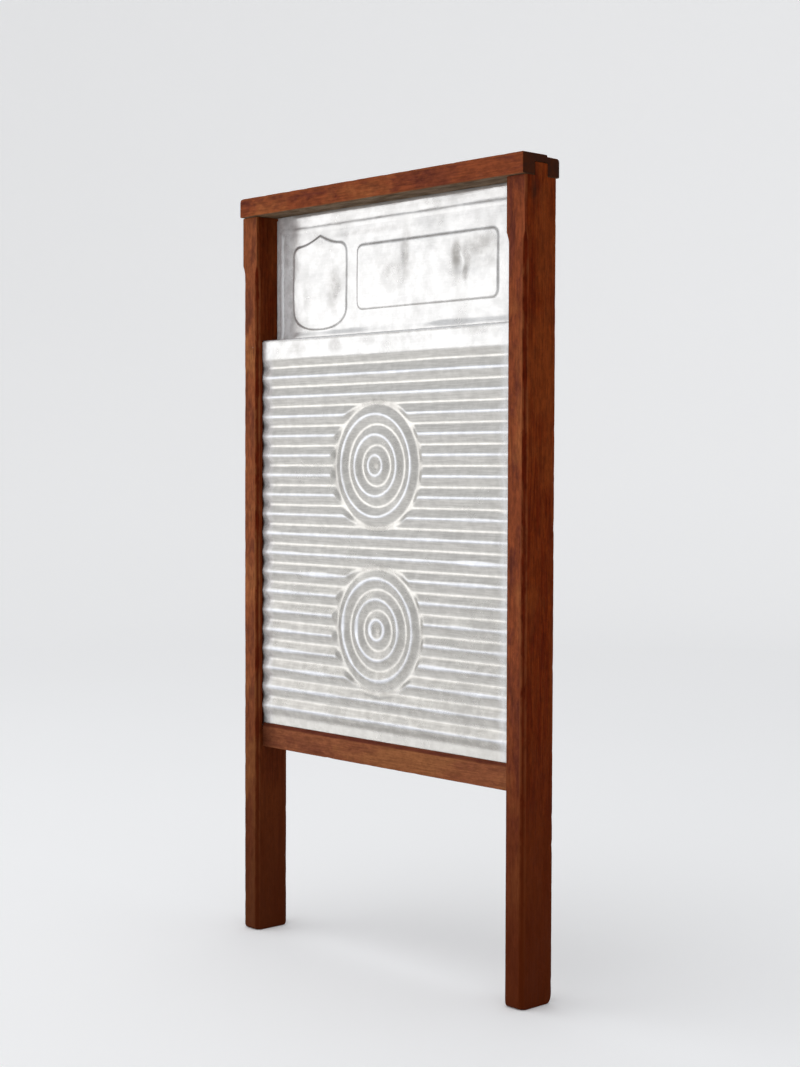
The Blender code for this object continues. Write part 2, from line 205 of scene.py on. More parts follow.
def loft(name, rings, fields, look):
    """Closed solid through equal rings of points, with flat ends."""
    rings = np.asarray(rings, float)
    count, size, _ = rings.shape
    index = np.arange(count * size).reshape(count, size)
    after = np.roll(index, -1, axis=1)
    quads = np.stack([index[:-1], after[:-1], after[1:], index[1:]], axis=-1).reshape(-1, 4).tolist()
    ends = [index[0][::-1].tolist(), index[-1].tolist()]
    return finish_mesh(name, rings.reshape(-1, 3), quads + ends, fields, look, closed=True)


def sheet(name, grid, fields, look):
    """Thin sheet from a grid of points on its front face; the metal's thickness lies behind it."""
    rows, columns, _ = grid.shape
    index = np.arange(rows * columns).reshape(rows, columns)
    corners = [index[:-1, :-1], index[1:, :-1], index[1:, 1:], index[:-1, 1:]]
    quads = np.stack(corners, axis=-1).reshape(-1, 4).tolist()
    made = finish_mesh(name, grid.reshape(-1, 3), quads, fields, look, 60.0)
    middle = made.data.polygons[len(made.data.polygons) // 2]
    if middle.normal.y > 0.0:
        made.data.flip_normals()
    gauge = made.modifiers.new("gauge", "SOLIDIFY")
    gauge.thickness = GAUGE
    gauge.offset = -1.0
    return made


def section(corners, stretches, arc_steps=3):
    """Closed outline whose corners are softened, with what each point shows as rows of fields.

    corners holds (a, b, radius, worn). stretches holds (steps, look) for the straight run after each
    corner, whose points crowd towards its ends; look names one of LOOKS. The fields are worn and LOOKS.
    """
    points, shown = [], []
    count = len(corners)
    faces = np.array([[1.0 if look == each else 0.0 for each in LOOKS] for _, look in stretches])
    for index, corner in enumerate(corners):
        here = Vector(corner[:2])
        before = Vector(corners[index - 1][:2])
        after = Vector(corners[(index + 1) % count][:2])
        start = here + (before - here).normalized() * corner[2]
        end = here + (after - here).normalized() * corner[2]
        for t in np.linspace(0.0, 1.0, arc_steps + 1) if corner[2] > 0.0 else (0.5,):
            points.append(start * (1 - t) ** 2 + here * (2 * t * (1 - t)) + end * t * t)
            shown.append((corner[3], *(faces[index - 1] * (1 - t) + faces[index] * t)))
        next_radius = corners[(index + 1) % count][2]
        far = after + (here - after).normalized() * next_radius
        steps = stretches[index][0]
        for step in range(1, steps):
            t = (1 - math.cos(math.pi * step / steps)) / 2
            points.append(end.lerp(far, t))
            shown.append((0.0, *faces[index]))
    return np.array([tuple(point) for point in points]), np.array(shown)


def weather(rings, worn, along, seed, wave=0.00012, nick=0.0007):
    """Sink a timber's faces a little into waves, and its worn corners into nicks, always inwards.

    rings run along the timber; along is the index of its long axis.
    """
    rings = np.asarray(rings, float)
    middle = rings.mean(axis=1, keepdims=True)
    tangent = np.roll(rings, -1, axis=1) - np.roll(rings, 1, axis=1)
    axis = np.zeros(3)
    axis[along] = 1.0
    inward = np.cross(tangent, axis)
    length = np.linalg.norm(inward, axis=2, keepdims=True)
    inward = inward / np.maximum(length, 1e-9)
    ahead = np.sum(inward * (middle - rings), axis=2, keepdims=True)
    turn = np.sign(np.sum(ahead, axis=1, keepdims=True))
    long_size = np.full(3, 0.012)
    long_size[along] = 0.055
    short_size = np.full(3, 0.008)
    short_size[along] = 0.010
    count, size, _ = rings.shape
    waves = wander(rings, long_size, seed).reshape(count, size, 1)
    nicks = wander(rings, short_size, seed + 1).reshape(count, size, 1)
    sink = wave * (0.5 + 0.5 * waves) + nick * np.maximum(nicks - 0.12, 0.0) * worn[..., None]
    return rings + inward * turn * sink * (length > 1e-7)


# Materials


class Nodes:
    """Short way to add and join shader nodes in one material."""

    def __init__(self, material):
        material.use_nodes = True
        self.tree = material.node_tree
        self.shader = self.tree.nodes["Principled BSDF"]

    def add(self, kind, settings=None, **inputs):
        """New node; settings are its properties and inputs are values or sockets by name."""
        made = self.tree.nodes.new(f"ShaderNode{kind}")
        for key, value in (settings or {}).items():
            setattr(made, key, value)
        for key, value in inputs.items():
            self.feed(made.inputs[key.replace("_", " ")], value)
        return made

    def feed(self, socket, value):
        """Set a socket to a value, or link another socket to it."""
        if isinstance(value, bpy.types.NodeSocket):
            self.tree.links.new(value, socket)
        else:
            socket.default_value = value

    def math(self, operation, first, second=0.0, third=0.0, clamp=False):
        """Math node on values or sockets."""
        made = self.add("Math", {"operation": operation, "use_clamp": clamp})
        for socket, value in zip(made.inputs, (first, second, third)):
            self.feed(socket, value)
        return made.outputs[0]

    def ramp(self, value, low, high, start=0.0, end=1.0):
        """Map a value from low..high to start..end with eased ends."""
        made = self.add("MapRange", {"interpolation_type": "SMOOTHSTEP"})
        keys = ("Value", "From Min", "From Max", "To Min", "To Max")
        for key, number in zip(keys, (value, low, high, start, end)):
            self.feed(made.inputs[key], number)
        return made.outputs[0]

    def mix(self, factor, first, second, blend="MIX"):
        """Mix two colours."""
        made = self.add("Mix", {"data_type": "RGBA", "blend_type": blend})
        self.feed(made.inputs[0], factor)
        self.feed(made.inputs[6], first)
        self.feed(made.inputs[7], second)
        return made.outputs[2]

    def shade(self, colour, level):
        """Multiply a colour by a number."""
        grey = self.add("CombineXYZ", X=level, Y=level, Z=level).outputs[0]
        return self.mix(1.0, colour, grey, "MULTIPLY")

    def attribute(self, name):
        """Float attribute of the mesh."""
        return self.add("Attribute", {"attribute_name": name}).outputs["Fac"]

    def place(self, scale, shift=(0.0, 0.0, 0.0)):
        """Object coordinates, scaled and shifted."""
        coordinates = self.add("TexCoord").outputs["Object"]
        return self.add("Mapping", Vector=coordinates, Scale=scale, Location=shift).outputs[0]

    def noise(self, vector, scale, detail=4.0, roughness=0.55, distortion=0.0):
        """Noise value."""
        made = self.add(
            "TexNoise",
            Vector=vector,
            Scale=scale,
            Detail=detail,
            Roughness=roughness,
            Distortion=distortion,
        )
        return made.outputs["Fac"]

    def bump(self, height, strength, distance, normal=None):
        """Bump from a height."""
        made = self.add("Bump", Height=height, Strength=strength, Distance=distance)
        if normal is not None:
            self.feed(made.inputs["Normal"], normal)
        return made.outputs[0]


def rgb(red, green, blue):
    """Linear colour with full alpha."""
    return (red, green, blue, 1.0)


def wood(name, along, seed, palette):
    """Old stained timber: fine grain along one axis, mottled wear, grime in its pores and darker feet.

    palette holds the colours of the worn front and its dark patches, the sides, darker partly as
    painted shade, the chamfers, the raw wood, the grime and the end grain.
    """
    material = bpy.data.materials.new(name)
    nodes = Nodes(material)
    shift = (seed * 1.7, seed * 2.9, seed * 0.8)

    def stretched(amount):
        """Object coordinates drawn out along the grain."""
        scale = [1.0, 1.0, 1.0]
        scale[along] = amount
        return nodes.place(scale, shift)

    fibres = nodes.noise(stretched(0.06), 950.0, 5.0, 0.62)
    bands = nodes.noise(stretched(0.07), 260.0, 4.0, 0.6, 0.8)
    patches = nodes.noise(stretched(0.35), 95.0, 6.0, 0.68, 0.5)
    mottle = nodes.noise(stretched(0.5), 300.0, 4.0, 0.7)
    clouds = nodes.noise(stretched(0.5), 24.0, 4.0, 0.6)
    worn = nodes.attribute("worn")
    face = nodes.mix(nodes.ramp(patches, 0.44, 0.64), palette["front"], palette["patch"])
    face = nodes.mix(nodes.ramp(clouds, 0.50, 0.66, 0.0, 0.8), face, palette["bare"])
    face = nodes.mix(nodes.ramp(clouds, 0.46, 0.32, 0.0, 0.7), face, palette["patch"])
    flank = nodes.mix(nodes.ramp(bands, 0.36, 0.64), palette["side"], palette["side_dark"])
    flank = nodes.mix(nodes.ramp(patches, 0.52, 0.70, 0.0, 0.8), flank, palette["deep"])
    flank = nodes.mix(nodes.ramp(clouds, 0.50, 0.68, 0.0, 0.55), flank, palette["side_worn"])
    raw = nodes.mix(nodes.ramp(patches, 0.40, 0.64), palette["raw"], palette["raw_dark"])
    # Side faces take the side colours: a darker stain, and partly painted shade.
    colour = nodes.mix(nodes.attribute("side"), face, flank)
    colour = nodes.mix(nodes.attribute("deep"), colour, palette["deep"])
    colour = nodes.mix(nodes.attribute("raw"), colour, raw)
    colour = nodes.shade(colour, nodes.ramp(fibres, 0.30, 0.70, 0.80, 1.20))
    colour = nodes.shade(colour, nodes.ramp(mottle, 0.32, 0.68, 0.82, 1.18))
    wear = nodes.math("MULTIPLY", worn, nodes.ramp(patches, 0.40, 0.62), clamp=True)
    colour = nodes.mix(nodes.math("MULTIPLY", wear, 0.5), colour, palette["bare"])
    pores = nodes.ramp(mottle, 0.64, 0.74)
    colour = nodes.mix(nodes.math("MULTIPLY", pores, 0.45), colour, palette["grime_and_shade"])
    soot_marks = nodes.attribute("soot")
    ragged = nodes.ramp(patches, 0.34, 0.62, 0.7, 1.1)
    marks = nodes.math("MULTIPLY", soot_marks, ragged, clamp=True)
    colour = nodes.mix(marks, colour, palette["grime_and_shade"])
    height = nodes.add("SeparateXYZ", Vector=nodes.place((1.0, 1.0, 1.0))).outputs["Z"]
    colour = nodes.mix(nodes.ramp(height, 0.0, 0.26, 0.78, 0.0), colour, palette["side"])
    colour = nodes.shade(colour, nodes.ramp(height, 0.0, 0.30, 0.55, 1.0))
    end_grain = nodes.mix(nodes.ramp(patches, 0.40, 0.60), palette["end"], palette["grime_and_shade"])
    colour = nodes.mix(nodes.attribute("ends"), colour, end_grain)
    nodes.feed(nodes.shader.inputs["Base Color"], colour)
    gloss = nodes.ramp(patches, 0.30, 0.70, 0.46, 0.66)
    gloss = nodes.math("ADD", gloss, nodes.math("MULTIPLY", fibres, 0.12))
    nodes.feed(nodes.shader.inputs["Roughness"], gloss)
    nodes.shader.inputs["Specular IOR Level"].default_value = 0.03
    grain = nodes.math("MULTIPLY", fibres, 0.7)
    grain = nodes.math("ADD", grain, nodes.math("MULTIPLY", mottle, 0.7))
    grain = nodes.math("SUBTRACT", grain, nodes.math("MULTIPLY", pores, 0.8))
    nodes.feed(nodes.shader.inputs["Normal"], nodes.bump(grain, 0.45, 0.0006))
    return material


def sheet_metal(name, seed):
    """Worn bright sheet: pale folds and duller scratched slopes, partly painted highlight and shade, a
    cool painted reflection on the crests, grey blotches with painted shade, pits and a chalky film that
    is partly painted light.
    """
    material = bpy.data.materials.new(name)
    nodes = Nodes(material)
    shift = (seed * 1.3, seed * 2.1, seed * 0.7)
    open_place = nodes.place((1.0, 1.0, 1.0), shift)
    scratch_place = nodes.place((0.05, 1.0, 1.0), shift)
    rub_place = nodes.place((1.0, 1.0, 0.10), shift)
    clouds = nodes.noise(open_place, 34.0, 6.0, 0.62)
    blotches = nodes.noise(open_place, 120.0, 5.0, 0.65)
    spots = nodes.noise(open_place, 520.0, 4.0, 0.7)
    scratches = nodes.noise(scratch_place, 900.0, 3.0, 0.6)
    rubs = nodes.noise(rub_place, 600.0, 3.0, 0.6)
    # The crest colour is tinted cool as a painted reflection of the window, the warm trough colour is
    # partly a deposit and partly a painted reflection, and the folds are paler than the slopes partly as
    # a painted highlight and painted shade.
    fold_colour = nodes.mix(nodes.ramp(nodes.attribute("crest"), 0.3, 0.9), TROUGH_METAL, CREST_METAL)
    slope = nodes.shade(SLOPE_METAL, nodes.ramp(scratches, 0.30, 0.70, 0.89, 1.10))
    fold_colour = nodes.shade(fold_colour, nodes.ramp(scratches, 0.30, 0.70, 0.97, 1.02))
    colour = nodes.mix(nodes.attribute("flat"), slope, fold_colour)
    colour = nodes.mix(nodes.ramp(clouds, 0.48, 0.74, 0.0, 0.32), colour, DULL_METAL)
    colour = nodes.shade(colour, nodes.ramp(blotches, 0.36, 0.64, 1.05, 0.93))
    ragged = nodes.ramp(blotches, 0.30, 0.62, 0.65, 1.15)
    # This attribute holds grey tarnish and painted shade in nooks, rims, under the crests and along the
    # pressed lines.
    ragged = nodes.math("MULTIPLY", nodes.attribute("stain_and_shade"), ragged, clamp=True)
    colour = nodes.mix(ragged, colour, STAIN_AND_SHADE_METAL)
    pits = nodes.ramp(spots, 0.70, 0.78)
    colour = nodes.mix(nodes.math("MULTIPLY", pits, 0.5), colour, STAIN_AND_SHADE_METAL)
    # Partly a chalky film and partly painted light: it lifts the metal by the stiles out of their shade
    # and dark reflection, and paints a highlight on the bead.
    ragged_film_and_light = nodes.ramp(blotches, 0.34, 0.66, 1.05, 0.75)
    chalk_and_light = nodes.math("MULTIPLY", nodes.attribute("film_and_painted_light"), ragged_film_and_light, clamp=True)
    colour = nodes.mix(nodes.ramp(chalk_and_light, 0.0, 1.0, 0.0, 0.95), colour, CHALK_AND_LIGHT)
    nodes.feed(nodes.shader.inputs["Base Color"], colour)
    nodes.feed(nodes.shader.inputs["Metallic"], nodes.ramp(chalk_and_light, 0.0, 1.0, 0.62, 0.12))
    rough = nodes.ramp(clouds, 0.30, 0.72, 0.17, 0.28)
    rough = nodes.math("MULTIPLY_ADD", ragged, 0.15, rough)
    nodes.feed(nodes.shader.inputs["Roughness"], rough)
    height = nodes.math("ADD", nodes.math("MULTIPLY", scratches, 0.5), nodes.math("MULTIPLY", rubs, 0.5))
    fine = nodes.bump(height, 0.10, 0.0003)
    soft = nodes.bump(clouds, 0.30, 0.0012, fine)
    nodes.feed(nodes.shader.inputs["Normal"], soft)
    return material


def nail_steel(name, seed):
    """Old nail head: dark steel with brown rust."""
    material = bpy.data.materials.new(name)
    nodes = Nodes(material)
    spots = nodes.noise(nodes.place((1.0, 1.0, 1.0), (seed, 0.0, 0.0)), 900.0, 5.0)
    rust = nodes.ramp(spots, 0.42, 0.62)
    colour = nodes.mix(rust, rgb(0.38, 0.36, 0.34), rgb(0.17, 0.075, 0.035))
    nodes.feed(nodes.shader.inputs["Base Color"], colour)
    nodes.feed(nodes.shader.inputs["Metallic"], nodes.math("SUBTRACT", 1.0, rust))
    nodes.feed(nodes.shader.inputs["Roughness"], nodes.math("MULTIPLY_ADD", rust, 0.35, 0.42))
    nodes.feed(nodes.shader.inputs["Normal"], nodes.bump(rust, 0.4, 0.0003))
    return material


# Metal colours: the cool crest tint is a painted reflection, the warm trough tint partly a deposit and
# partly a painted reflection, and the slopes are darker than the folds partly as painted shade.
CREST_METAL = rgb(0.79, 0.805, 0.85)
TROUGH_METAL = rgb(0.84, 0.815, 0.77)
SLOPE_METAL = rgb(0.655, 0.635, 0.595)
DULL_METAL = rgb(0.54, 0.525, 0.50)
# Grey for tarnish and pits, also used for painted shade.
STAIN_AND_SHADE_METAL = rgb(0.27, 0.25, 0.225)
# Pale chalk colour, partly painted light.
CHALK_AND_LIGHT = rgb(0.90, 0.90, 0.90)
# Wood palettes: the side colours are darker than the front partly as painted shade.
STAINED = {
    "front": rgb(0.235, 0.056, 0.020),
    "patch": rgb(0.135, 0.032, 0.018),
    "side": rgb(0.160, 0.025, 0.003),
    "side_dark": rgb(0.108, 0.011, 0.001),
    "side_worn": rgb(0.205, 0.044, 0.008),
    "deep": rgb(0.085, 0.008, 0.001),
    "bare": rgb(0.320, 0.098, 0.032),
    "raw": rgb(0.170, 0.110, 0.064),
    "raw_dark": rgb(0.080, 0.050, 0.028),
    "grime_and_shade": rgb(0.040, 0.012, 0.006),
    "end": rgb(0.055, 0.013, 0.004),
}
PALE = {
    **STAINED,
    "side": rgb(0.135, 0.025, 0.005),
    "side_dark": rgb(0.085, 0.012, 0.002),
    "side_worn": rgb(0.170, 0.040, 0.009),
    "front": rgb(0.262, 0.074, 0.027),
    "patch": rgb(0.160, 0.044, 0.021),
    "bare": rgb(0.375, 0.140, 0.046),
}
BROWN = {
    **STAINED,
    "front": rgb(0.375, 0.128, 0.056),
    "patch": rgb(0.270, 0.088, 0.046),
    "bare": rgb(0.430, 0.168, 0.064),
    "deep": rgb(0.140, 0.036, 0.022),
}
RAW = {
    **STAINED,
    "front": rgb(0.300, 0.190, 0.105),
    "patch": rgb(0.200, 0.120, 0.068),
    "side": rgb(0.270, 0.165, 0.090),
    "side_dark": rgb(0.190, 0.105, 0.056),
    "side_worn": rgb(0.300, 0.190, 0.105),
    "deep": rgb(0.225, 0.135, 0.075),
    "bare": rgb(0.360, 0.240, 0.140),
}


# Timbers


# Grimy marks: middle, half sizes and strength
MARKS = {
    "right_stile": (((OUTER_X, FRONT_Y + 0.0096, 0.5845), (0.0040, 0.0030, 0.0090), 1.0),),
    "bottom_rail": (((-0.1410, FRONT_Y + 0.0060, 0.1650), (0.0140, 0.0200, 0.0200), 0.85),),
}


def groove_opening(z, span):
    """1 inside a groove's length and 0 beyond it."""
    return 1.0 if span[0] < z < span[1] else 0.0


def stile_levels():
    """Heights of a stile's rings, closer together where its shape changes."""
    levels = [0.0, 0.00005, 0.0003, 0.0008, 0.0016, 0.0026, 0.0038, 0.0055, 0.008]
    levels += np.arange(0.012, CHAMFER_STOP_Z, 0.004).tolist()
    levels += np.arange(CHAMFER_STOP_Z, CHAMFER_STOP_Z + CHAMFER_RUNOUT, 0.001).tolist()
    levels += np.arange(CHAMFER_STOP_Z + CHAMFER_RUNOUT, RAIL_Z - 0.002, 0.004).tolist()
    for edge in (*SHEET_SPAN, *PANEL_SPAN):
        levels += [edge - 0.0001, edge + 0.0001]
    levels += [RAIL_Z - 0.0015, RAIL_Z - GAP]
    return sorted(levels)


def stile_ring(z, heel):
    """Section of a stile at height z as (across, depth) points, and how worn each is."""
    fade = float(smoothstep((z - CHAMFER_STOP_Z) / CHAMFER_RUNOUT))
    size = max(CHAMFER * (1.0 - 1.25 * fade), SOFT_EDGE)
    side_in = toe(z, 0.0011, 0.0016)
    near = toe(z, FOOT, FOOT)
    back = STILE_DEPTH - toe(z, *heel)
    left, right = side_in, STILE_WIDTH - side_in
    panel = PANEL_GROOVE_DEPTH * groove_opening(z, PANEL_SPAN)
    rub = SHEET_GROOVE_DEPTH * groove_opening(z, SHEET_SPAN)
    soft = SOFT_EDGE
    corners = [
        (left + size, near, soft, 1.0),
        (right - size, near, soft, 1.0),
        (right, near + size, soft, 0.7),
        (right, back, 0.0012, 0.8),
        (left, back, 0.0010, 0.8),
        (left, PANEL_GROOVE[1], 0.0, 0.0),
        (left + panel, PANEL_GROOVE[1], 0.0, 0.0),
        (left + panel, PANEL_GROOVE[0], 0.0, 0.0),
        (left, PANEL_GROOVE[0], 0.0, 0.0),
        (left, SHEET_GROOVE[1], 0.0, 0.0),
        (left + rub, SHEET_GROOVE[1], 0.0, 0.0),
        (left + rub, SHEET_GROOVE[0], 0.0, 0.0),
        (left, SHEET_GROOVE[0], 0.0, 0.0),
        (left, near + size, soft, 0.7),
    ]
    steps = (7, 2, 9, 7, 3, 1, 1, 1, 3, 1, 1, 1, 3, 2)
    looks = ("front", "deep", *["side"] * 11, "deep")
    return section(corners, list(zip(steps, looks)), 2)


def stile(name, side, look):
    """Upright with stopped chamfers, a worn foot, grooves for both sheets and a tenon at the top."""
    heel = HEELS["left" if side < 0 else "right"]
    heights = stile_levels()
    flat, shown = (np.array(part) for part in zip(*[stile_ring(z, heel) for z in heights]))
    tall = np.repeat(np.array(heights)[:, None], flat.shape[1], axis=1)
    rings = np.stack([side * (INNER_X + flat[..., 0]), FRONT_Y + flat[..., 1], tall], axis=-1)
    rings = weather(rings, shown[..., 0], ALONG_Z, 3 if side < 0 else 5)
    tenon = []
    for z, inset in ((heights[-1], 0.0), (TENON_TOP_Z - 0.0006, 0.0), (TENON_TOP_Z, 0.0005)):
        ring = rings[-1].copy()
        edges = sorted((side * (INNER_X + inset), side * (OUTER_X - inset)))
        ring[:, 0] = np.clip(ring[:, 0], *edges)
        ring[:, 1] = np.clip(ring[:, 1], TENON_FRONT_Y + inset, TENON_BACK_Y - inset)
        ring[:, 2] = z
        tenon.append(ring)
    plain = np.tile((0.0, 1.0, 0.0, 0.0), (len(tenon), flat.shape[1], 1))
    rings = np.concatenate([rings, tenon])
    fields = timber_fields(np.concatenate([shown, plain]))
    fields["soot"] = soot(name, rings)
    made = loft(name, rings, fields, look)
    claim(made, [name])
    return made


def timber_fields(shown, ends=None):
    """Mesh attributes from the rows that section gives, with the end grain if there is any."""
    fields = {label: shown[..., index] for index, label in enumerate(("worn", *LOOKS))}
    fields["ends"] = np.zeros(shown.shape[:2]) if ends is None else ends
    return fields


def soot(name, rings):
    """Strength of a timber's grimy marks at each point, from 0 to 1."""
    amount = np.zeros(rings.shape[:2])
    for middle, half_sizes, strength in MARKS.get(name, ()):
        away = (((rings - middle) / half_sizes) ** 2).sum(axis=-1)
        amount = np.maximum(amount, strength * np.exp(-away))
    return amount


def claim(made, nodes):
    """Ride on the object's only body, in place of these CAD nodes."""
    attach(made, "root")
    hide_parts(*nodes)


def rail_ring(x):
    """Section of the top rail at x as (y, z), and how worn each point is."""
    from_left = x + OUTER_X
    from_right = OUTER_X - x
    end = min(from_left, from_right)
    draw = toe(end, 0.0009, 0.0012)
    crown = toe(from_left, 0.0016, 0.0030)
    chip = 0.0016 * float(smoothstep((0.0065 - from_right) / 0.0012))
    front = RAIL_LOW.y + draw
    back = RAIL_HIGH.y - draw
    low = RAIL_Z + draw * 0.6
    top = HEIGHT - draw * 0.8 - crown
    step_y = TENON_BACK_Y - 0.0005
    in_joint = abs(x) > INNER_X - GAP
    slot = (TENON_FRONT_Y - GAP, TENON_BACK_Y + GAP) if in_joint else KERF
    rise = TENON_RISE if in_joint else KERF_RISE
    corners = [
        (front, low, 0.0007, 0.8),
        (front, top, 0.0013, 1.0),
        (step_y, top, 0.0002, 0.0),
        (step_y + 0.0006, top - chip, 0.0002, 0.0),
        (back, top - chip, 0.0010 + chip, 0.9),
        (back, low, 0.0008, 0.8),
        (slot[1], low, 0.0, 0.0),
        (slot[1], RAIL_Z + rise, 0.0, 0.0),
        (slot[0], RAIL_Z + rise, 0.0, 0.0),
        (slot[0], low, 0.0, 0.0),
    ]
    steps = (6, 9, 1, 4, 6, 4, 1, 1, 1, 4)
    looks = ("front", "side", "side", "side", "side", *["raw"] * 5)
    return section(corners, list(zip(steps, looks)))


def top_rail(look):
    """Capping rail: open mortises at its ends, a kerf for the panel, and worn, chipped corners."""
    close = [0.0, 0.0001, 0.0004, 0.0009, 0.0015, 0.0024, 0.0035, 0.005, 0.0057, 0.0062, 0.0067, 0.009]
    stations = [-OUTER_X + step for step in close] + [OUTER_X - step for step in close]
    stations += np.arange(-OUTER_X + 0.012, OUTER_X - 0.010, 0.004).tolist()
    for side in (-1, 1):
        stations += [side * (INNER_X - GAP) - 0.0001, side * (INNER_X - GAP) + 0.0001]
    stations = sorted(stations)
    flat, shown = (np.array(part) for part in zip(*[rail_ring(x) for x in stations]))
    wide = np.repeat(np.array(stations)[:, None], flat.shape[1], axis=1)
    rings = np.stack([wide, flat[..., 0], flat[..., 1]], axis=-1)
    rings = weather(rings, shown[..., 0], ALONG_X, 7)
    end_grain = np.where(np.abs(wide) > OUTER_X - 0.00015, 1.0, 0.0)
    made = loft("top_rail", rings, timber_fields(shown, end_grain), look)
    claim(made, ["top_rail"])
    return made


def bar(name, low, high, bevel, groove, look, seed):
    """Rail between the stiles: softened section with a bevelled front top edge and a groove on top."""
    corners = [
        (low.y, low.z, 0.0007, 0.9),
        (low.y, high.z - bevel[1], 0.0005, 0.7),
        (low.y + bevel[0], high.z, 0.0003, 0.5),
        (groove[0], high.z, 0.0, 0.0),
        (groove[0], groove[2], 0.0, 0.0),
        (groove[1], groove[2], 0.0, 0.0),
        (groove[1], high.z, 0.0, 0.0),
        (high.y, high.z, 0.0006, 0.6),
        (high.y, low.z, 0.0006, 0.6),
    ]
    steps = (6, 2, 2, 1, 1, 1, 4, 5, 6)
    looks = ("front", "deep", *["side"] * 7)
    flat, shown = section(corners, list(zip(steps, looks)))
    stations = np.arange(-INNER_X, INNER_X + 0.001, 2 * INNER_X / 72)
    wide = np.repeat(stations[:, None], len(flat), axis=1)
    flat = np.repeat(flat[None], len(stations), axis=0)
    shown = np.repeat(shown[None], len(stations), axis=0)
    rings = np.stack([wide, flat[..., 0], flat[..., 1]], axis=-1)
    rings = weather(rings, shown[..., 0], ALONG_X, seed)
    fields = timber_fields(shown)
    fields["soot"] = soot(name, rings)
    made = loft(name, rings, fields, look)
    claim(made, [name])
    return made


# Rubbing sheet


def drop(distance):
    """How far the rounded fold has fallen at a distance from the middle of a crest."""
    reach = FOLD_RADIUS * math.sin(FLANK)
    cap = FOLD_RADIUS * (1.0 - math.cos(FLANK))
    half = PITCH / 2
    distance = np.clip(distance, 0.0, half)
    near = FOLD_RADIUS - np.sqrt(np.maximum(FOLD_RADIUS**2 - np.minimum(distance, reach) ** 2, 0.0))
    middle = cap + (distance - reach) * (RELIEF - 2 * cap) / (half - 2 * reach)
    left = np.minimum(half - distance, reach)
    far = RELIEF - (FOLD_RADIUS - np.sqrt(np.maximum(FOLD_RADIUS**2 - left**2, 0.0)))
    return np.where(distance < reach, near, np.where(distance > half - reach, far, middle))


def fold(cycles):
    """Height of the folds from 0 in a trough to RELIEF on a crest; crests are at whole numbers."""
    return RELIEF - drop(np.abs(cycles - np.round(cycles)) * PITCH)


def relief(x, z):
    """Height of the sheet's front face at arrays of x and z."""
    below = (TOP_CREST_Z - z) / PITCH
    height = np.where(below < RIDGES - 0.5, fold(below), 0.0)
    height = np.where(below < -1.0, RELIEF, height)
    for middle_x, ridges_down in MEDALLIONS:
        radius = np.hypot(x - middle_x, z - (TOP_CREST_Z - ridges_down * PITCH))
        height = height * smoothstep((radius - MEDALLION_RADIUS - MEDALLION_RIM) / RIDGE_END)
        dot = 0.0006 * np.clip(1.0 - (radius / 0.0018) ** 2, 0.0, 1.0)
        height = np.where(radius <= MEDALLION_RADIUS, fold(radius / PITCH - 0.5) + dot, height)
    return height


def flatness(height, x, z):
    """1 where the pressed metal lies parallel to the board and 0 on a full slope."""
    down = np.gradient(height, axis=0) / np.gradient(z, axis=0)
    across = np.gradient(height, axis=1) / np.gradient(x, axis=1)
    return 1.0 - smoothstep(np.hypot(down, across) / math.tan(FLANK) * 1.25 - 0.25)


# Grey blotches, partly tarnish and partly painted shade and reflection: middle x and z, half sizes along
# them, and strength
PANEL_TARNISH_AND_SHADE = (
    # Those round the knocks, beside the crease and near the left stile are painted reflection and shade.
    (0.0140, 0.552, 0.0055, 0.0210, 0.42),
    (0.0040, 0.541, 0.0220, 0.0140, 0.20),
    (0.0700, 0.5465, 0.0058, 0.0115, 0.72),
    (0.0795, 0.5340, 0.0040, 0.0070, 0.62),
    (0.0810, 0.5450, 0.0060, 0.0110, 0.42),
    (0.0740, 0.5420, 0.0140, 0.0170, 0.26),
    (0.0950, 0.5520, 0.0220, 0.0085, 0.44),
    (0.1000, 0.5410, 0.0150, 0.0060, 0.24),
    (-0.0700, 0.5320, 0.0090, 0.0170, 0.42),
    (-0.1050, 0.5300, 0.0050, 0.0200, 0.10),
    (-0.0560, 0.548, 0.0060, 0.0250, 0.14),
    (-0.1250, 0.530, 0.0040, 0.0400, 0.15),
    (-0.0300, 0.574, 0.0500, 0.0020, 0.16),
    (0.0600, 0.5890, 0.0900, 0.0015, 0.12),
)
SHEET_TARNISH_AND_SHADE = (
    (-0.0980, 0.4840, 0.0110, 0.0060, 0.30),
    (-0.0510, 0.4850, 0.0075, 0.0050, 0.42),
    (-0.0150, 0.4870, 0.0150, 0.0035, 0.16),
    (0.0400, 0.4860, 0.0300, 0.0035, 0.14),
    (0.1100, 0.4880, 0.0250, 0.0030, 0.20),
    (0.0, 0.4909, 0.1500, 0.0007, 0.60),
    (-0.0430, 0.3800, 0.0040, 0.0100, 0.20),
    (-0.0260, 0.3880, 0.0040, 0.0080, 0.22),
    (0.0300, 0.3960, 0.0040, 0.0100, 0.20),
    (0.0160, 0.3900, 0.0030, 0.0070, 0.22),
    (0.0380, 0.3760, 0.0030, 0.0140, 0.20),
    (-0.0036, 0.3893, 0.0035, 0.0035, 0.55),
    (-0.0015, 0.2613, 0.0035, 0.0035, 0.55),
    (-0.0290, 0.2650, 0.0040, 0.0110, 0.30),
    (0.0270, 0.2520, 0.0040, 0.0120, 0.30),
    # Painted shade under the lowest crest.
    (0.0200, 0.1848, 0.1700, 0.0024, 0.52),
    (0.0, 0.2010, 0.2000, 0.0018, 0.20),
    (-0.1100, 0.1730, 0.0400, 0.0030, 0.10),
    (0.0800, 0.1720, 0.0600, 0.0030, 0.30),
)


